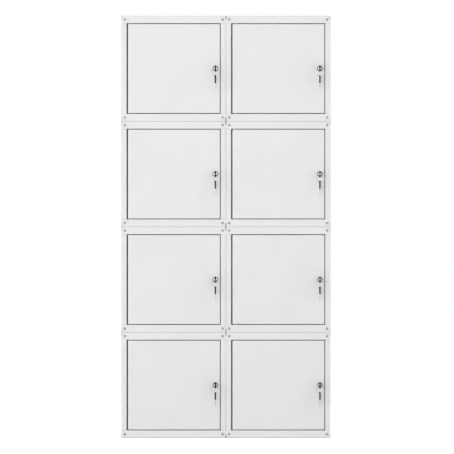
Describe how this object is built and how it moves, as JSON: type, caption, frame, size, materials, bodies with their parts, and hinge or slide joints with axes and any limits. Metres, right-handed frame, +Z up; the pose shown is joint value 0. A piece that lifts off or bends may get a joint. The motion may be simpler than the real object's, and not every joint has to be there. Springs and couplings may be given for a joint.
{
  "type": "parcel locker",
  "caption": "Free-standing bank of stacked sheet-steel cube lockers with flush hinged doors, cam locks and keys on rings.",
  "frame": {"origin": "on the floor, under the middle of the bank's width and depth", "axes": "+Z up, the doors face -Y, +X to the right of someone facing the doors"},
  "size_m": [0.6932, 0.418, 1.4],
  "materials": {
    "white_carcass": "white textured powder coat",
    "white_door": "white textured powder coat",
    "zinc": "bright zinc plate",
    "nylon": "natural moulded nylon",
    "rubber": "matt",
    "lock_chrome": "polished",
    "lock_plug": "satin nickel",
    "key": "moulded bow on a nickel-plated blade",
    "ring_steel": "polished"
  },
  "bodies": {
    "carcass": {"top_panels": "white_carcass", "bottom_panels": "white_carcass", "left_side_panels": "white_carcass", "right_side_panels": "white_carcass", "back_panels": "white_carcass", "frame_screws": "zinc", "pivot_bushes": "nylon", "door_buffers": "rubber", "joining_bolts": "zinc", "joining_nuts": "zinc"},
    "door_1": {"door_1": "white_door", "lock_housing_1": "lock_chrome"},
    "lock_1": {"lock_plug_1": "lock_plug"},
    "key_1": {"key_1": "key"},
    "ring_1": {"key_ring_1": "ring_steel"},
    "spare_1": {"spare_key_1": "key"},
    "door_2": {"door_2": "white_door", "lock_housing_2": "lock_chrome"},
    "lock_2": {"lock_plug_2": "lock_plug"},
    "key_2": {"key_2": "key"},
    "ring_2": {"key_ring_2": "ring_steel"},
    "spare_2": {"spare_key_2": "key"},
    "door_3": {"door_3": "white_door", "lock_housing_3": "lock_chrome"},
    "lock_3": {"lock_plug_3": "lock_plug"},
    "key_3": {"key_3": "key"},
    "ring_3": {"key_ring_3": "ring_steel"},
    "spare_3": {"spare_key_3": "key"},
    "door_4": {"door_4": "white_door", "lock_housing_4": "lock_chrome"},
    "lock_4": {"lock_plug_4": "lock_plug"},
    "key_4": {"key_4": "key"},
    "ring_4": {"key_ring_4": "ring_steel"},
    "spare_4": {"spare_key_4": "key"},
    "door_5": {"door_5": "white_door", "lock_housing_5": "lock_chrome"},
    "lock_5": {"lock_plug_5": "lock_plug"},
    "key_5": {"key_5": "key"},
    "ring_5": {"key_ring_5": "ring_steel"},
    "spare_5": {"spare_key_5": "key"},
    "door_6": {"door_6": "white_door", "lock_housing_6": "lock_chrome"},
    "lock_6": {"lock_plug_6": "lock_plug"},
    "key_6": {"key_6": "key"},
    "ring_6": {"key_ring_6": "ring_steel"},
    "spare_6": {"spare_key_6": "key"},
    "door_7": {"door_7": "white_door", "lock_housing_7": "lock_chrome"},
    "lock_7": {"lock_plug_7": "lock_plug"},
    "key_7": {"key_7": "key"},
    "ring_7": {"key_ring_7": "ring_steel"},
    "spare_7": {"spare_key_7": "key"},
    "door_8": {"door_8": "white_door", "lock_housing_8": "lock_chrome"},
    "lock_8": {"lock_plug_8": "lock_plug"},
    "key_8": {"key_8": "key"},
    "ring_8": {"key_ring_8": "ring_steel"},
    "spare_8": {"spare_key_8": "key"}
  },
  "joints": [
    {"name": "door_1_swing", "type": "hinge", "parent": "carcass", "child": "door_1", "pos_m": [-0.3151, -0.182, 1.225], "axis": [0, 0, -1], "range_deg": [0, 110]},
    {"name": "lock_1_turn", "type": "hinge", "parent": "door_1", "child": "lock_1", "pos_m": [-0.0351, -0.19, 1.225], "axis": [0, -1, 0], "range_deg": [0, 90]},
    {"name": "key_1_pull", "type": "slide", "parent": "lock_1", "child": "key_1", "axis": [0, -1, 0], "range_m": [0, 0.025]},
    {"name": "ring_1_swing", "type": "hinge", "parent": "key_1", "child": "ring_1", "pos_m": [-0.0351, -0.2158, 1.224], "axis": [0, -1, 0], "range_deg": [-18, 0]},
    {"name": "spare_1_swing", "type": "hinge", "parent": "ring_1", "child": "spare_1", "pos_m": [-0.0351, -0.2158, 1.2115], "axis": [0, -1, 0], "range_deg": [-72, 0]},
    {"name": "door_2_swing", "type": "hinge", "parent": "carcass", "child": "door_2", "pos_m": [0.0316, -0.182, 1.225], "axis": [0, 0, -1], "range_deg": [0, 110]},
    {"name": "lock_2_turn", "type": "hinge", "parent": "door_2", "child": "lock_2", "pos_m": [0.3116, -0.19, 1.225], "axis": [0, -1, 0], "range_deg": [0, 90]},
    {"name": "key_2_pull", "type": "slide", "parent": "lock_2", "child": "key_2", "axis": [0, -1, 0], "range_m": [0, 0.025]},
    {"name": "ring_2_swing", "type": "hinge", "parent": "key_2", "child": "ring_2", "pos_m": [0.3116, -0.2158, 1.224], "axis": [0, -1, 0], "range_deg": [-18, 0]},
    {"name": "spare_2_swing", "type": "hinge", "parent": "ring_2", "child": "spare_2", "pos_m": [0.3116, -0.2158, 1.2115], "axis": [0, -1, 0], "range_deg": [-72, 0]},
    {"name": "door_3_swing", "type": "hinge", "parent": "carcass", "child": "door_3", "pos_m": [-0.3151, -0.182, 0.875], "axis": [0, 0, -1], "range_deg": [0, 110]},
    {"name": "lock_3_turn", "type": "hinge", "parent": "door_3", "child": "lock_3", "pos_m": [-0.0351, -0.19, 0.875], "axis": [0, -1, 0], "range_deg": [0, 90]},
    {"name": "key_3_pull", "type": "slide", "parent": "lock_3", "child": "key_3", "axis": [0, -1, 0], "range_m": [0, 0.025]},
    {"name": "ring_3_swing", "type": "hinge", "parent": "key_3", "child": "ring_3", "pos_m": [-0.0351, -0.2158, 0.874], "axis": [0, -1, 0], "range_deg": [-18, 0]},
    {"name": "spare_3_swing", "type": "hinge", "parent": "ring_3", "child": "spare_3", "pos_m": [-0.0351, -0.2158, 0.8615], "axis": [0, -1, 0], "range_deg": [-72, 0]},
    {"name": "door_4_swing", "type": "hinge", "parent": "carcass", "child": "door_4", "pos_m": [0.0316, -0.182, 0.875], "axis": [0, 0, -1], "range_deg": [0, 110]},
    {"name": "lock_4_turn", "type": "hinge", "parent": "door_4", "child": "lock_4", "pos_m": [0.3116, -0.19, 0.875], "axis": [0, -1, 0], "range_deg": [0, 90]},
    {"name": "key_4_pull", "type": "slide", "parent": "lock_4", "child": "key_4", "axis": [0, -1, 0], "range_m": [0, 0.025]},
    {"name": "ring_4_swing", "type": "hinge", "parent": "key_4", "child": "ring_4", "pos_m": [0.3116, -0.2158, 0.874], "axis": [0, -1, 0], "range_deg": [-18, 0]},
    {"name": "spare_4_swing", "type": "hinge", "parent": "ring_4", "child": "spare_4", "pos_m": [0.3116, -0.2158, 0.8615], "axis": [0, -1, 0], "range_deg": [-72, 0]},
    {"name": "door_5_swing", "type": "hinge", "parent": "carcass", "child": "door_5", "pos_m": [-0.3151, -0.182, 0.525], "axis": [0, 0, -1], "range_deg": [0, 110]},
    {"name": "lock_5_turn", "type": "hinge", "parent": "door_5", "child": "lock_5", "pos_m": [-0.0351, -0.19, 0.525], "axis": [0, -1, 0], "range_deg": [0, 90]},
    {"name": "key_5_pull", "type": "slide", "parent": "lock_5", "child": "key_5", "axis": [0, -1, 0], "range_m": [0, 0.025]},
    {"name": "ring_5_swing", "type": "hinge", "parent": "key_5", "child": "ring_5", "pos_m": [-0.0351, -0.2158, 0.524], "axis": [0, -1, 0], "range_deg": [-18, 0]},
    {"name": "spare_5_swing", "type": "hinge", "parent": "ring_5", "child": "spare_5", "pos_m": [-0.0351, -0.2158, 0.5115], "axis": [0, -1, 0], "range_deg": [-72, 0]},
    {"name": "door_6_swing", "type": "hinge", "parent": "carcass", "child": "door_6", "pos_m": [0.0316, -0.182, 0.525], "axis": [0, 0, -1], "range_deg": [0, 110]},
    {"name": "lock_6_turn", "type": "hinge", "parent": "door_6", "child": "lock_6", "pos_m": [0.3116, -0.19, 0.525], "axis": [0, -1, 0], "range_deg": [0, 90]},
    {"name": "key_6_pull", "type": "slide", "parent": "lock_6", "child": "key_6", "axis": [0, -1, 0], "range_m": [0, 0.025]},
    {"name": "ring_6_swing", "type": "hinge", "parent": "key_6", "child": "ring_6", "pos_m": [0.3116, -0.2158, 0.524], "axis": [0, -1, 0], "range_deg": [-18, 0]},
    {"name": "spare_6_swing", "type": "hinge", "parent": "ring_6", "child": "spare_6", "pos_m": [0.3116, -0.2158, 0.5115], "axis": [0, -1, 0], "range_deg": [-72, 0]},
    {"name": "door_7_swing", "type": "hinge", "parent": "carcass", "child": "door_7", "pos_m": [-0.3151, -0.182, 0.175], "axis": [0, 0, -1], "range_deg": [0, 110]},
    {"name": "lock_7_turn", "type": "hinge", "parent": "door_7", "child": "lock_7", "pos_m": [-0.0351, -0.19, 0.175], "axis": [0, -1, 0], "range_deg": [0, 90]},
    {"name": "key_7_pull", "type": "slide", "parent": "lock_7", "child": "key_7", "axis": [0, -1, 0], "range_m": [0, 0.025]},
    {"name": "ring_7_swing", "type": "hinge", "parent": "key_7", "child": "ring_7", "pos_m": [-0.0351, -0.2158, 0.174], "axis": [0, -1, 0], "range_deg": [-18, 0]},
    {"name": "spare_7_swing", "type": "hinge", "parent": "ring_7", "child": "spare_7", "pos_m": [-0.0351, -0.2158, 0.1615], "axis": [0, -1, 0], "range_deg": [-72, 0]},
    {"name": "door_8_swing", "type": "hinge", "parent": "carcass", "child": "door_8", "pos_m": [0.0316, -0.182, 0.175], "axis": [0, 0, -1], "range_deg": [0, 110]},
    {"name": "lock_8_turn", "type": "hinge", "parent": "door_8", "child": "lock_8", "pos_m": [0.3116, -0.19, 0.175], "axis": [0, -1, 0], "range_deg": [0, 90]},
    {"name": "key_8_pull", "type": "slide", "parent": "lock_8", "child": "key_8", "axis": [0, -1, 0], "range_m": [0, 0.025]},
    {"name": "ring_8_swing", "type": "hinge", "parent": "key_8", "child": "ring_8", "pos_m": [0.3116, -0.2158, 0.174], "axis": [0, -1, 0], "range_deg": [-18, 0]},
    {"name": "spare_8_swing", "type": "hinge", "parent": "ring_8", "child": "spare_8", "pos_m": [0.3116, -0.2158, 0.1615], "axis": [0, -1, 0], "range_deg": [-72, 0]}
  ],
  "couplings": [
    {"joint": "ring_1_swing", "follows": "lock_1_turn", "ratio": -0.2},
    {"joint": "spare_1_swing", "follows": "lock_1_turn", "ratio": -0.8},
    {"joint": "ring_2_swing", "follows": "lock_2_turn", "ratio": -0.2},
    {"joint": "spare_2_swing", "follows": "lock_2_turn", "ratio": -0.8},
    {"joint": "ring_3_swing", "follows": "lock_3_turn", "ratio": -0.2},
    {"joint": "spare_3_swing", "follows": "lock_3_turn", "ratio": -0.8},
    {"joint": "ring_4_swing", "follows": "lock_4_turn", "ratio": -0.2},
    {"joint": "spare_4_swing", "follows": "lock_4_turn", "ratio": -0.8},
    {"joint": "ring_5_swing", "follows": "lock_5_turn", "ratio": -0.2},
    {"joint": "spare_5_swing", "follows": "lock_5_turn", "ratio": -0.8},
    {"joint": "ring_6_swing", "follows": "lock_6_turn", "ratio": -0.2},
    {"joint": "spare_6_swing", "follows": "lock_6_turn", "ratio": -0.8},
    {"joint": "ring_7_swing", "follows": "lock_7_turn", "ratio": -0.2},
    {"joint": "spare_7_swing", "follows": "lock_7_turn", "ratio": -0.8},
    {"joint": "ring_8_swing", "follows": "lock_8_turn", "ratio": -0.2},
    {"joint": "spare_8_swing", "follows": "lock_8_turn", "ratio": -0.8}
  ]
}
